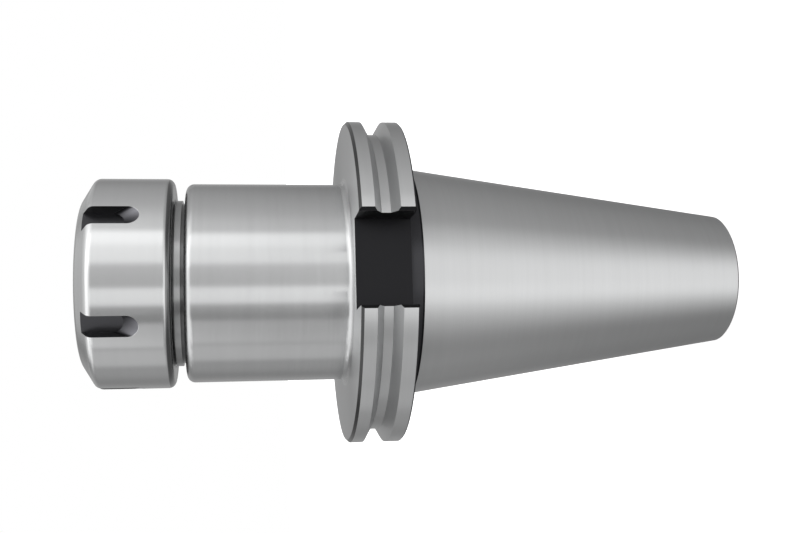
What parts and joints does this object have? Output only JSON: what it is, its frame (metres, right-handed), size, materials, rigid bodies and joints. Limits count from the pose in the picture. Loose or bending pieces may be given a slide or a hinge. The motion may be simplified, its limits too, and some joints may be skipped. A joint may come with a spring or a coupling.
{
  "type": "collet chuck holder",
  "caption": "Steep-taper tool holder with a V-groove drive flange, a cylindrical hub and a slotted clamping nut that closes a spring collet on a cutting tool's shank.",
  "frame": {"origin": "centre of the gauge plane, where the taper has its gauge diameter of 69.85 mm", "axes": "+Z along the spindle axis towards the nut; the holder stands on the small end of its taper, and the two drive keyways face -Y and +Y"},
  "size_m": [0.0984, 0.0944, 0.1985],
  "materials": {
    "holder_steel": "ground, with black oxide in the keyways and the neck",
    "nut_steel": "fine turned and polished",
    "collet_steel": "fine ground",
    "stop_screw_steel": "black oxide"
  },
  "bodies": {
    "holder": {"holder_body": "holder_steel"},
    "collet": {"collet": "collet_steel"},
    "nut": {"clamping_nut": "nut_steel"},
    "stop_screw": {"stop_screw": "stop_screw_steel"}
  },
  "joints": [
    {"name": "collet_travel", "type": "slide", "parent": "holder", "child": "collet", "axis": [0, 0, 1], "range_m": [0, 0.015]},
    {"name": "nut_turn", "type": "hinge", "parent": "collet", "child": "nut", "pos_m": [0, 0, 0.084], "axis": [0, 0, 1], "range_deg": [0, 3600]},
    {"name": "stop_screw_travel", "type": "slide", "parent": "holder", "child": "stop_screw", "axis": [0, 0, 1], "range_m": [-0.014, 0.004]}
  ],
  "couplings": [
    {"joint": "nut_turn", "follows": "collet_travel", "rad_per_m": 4188.8}
  ]
}
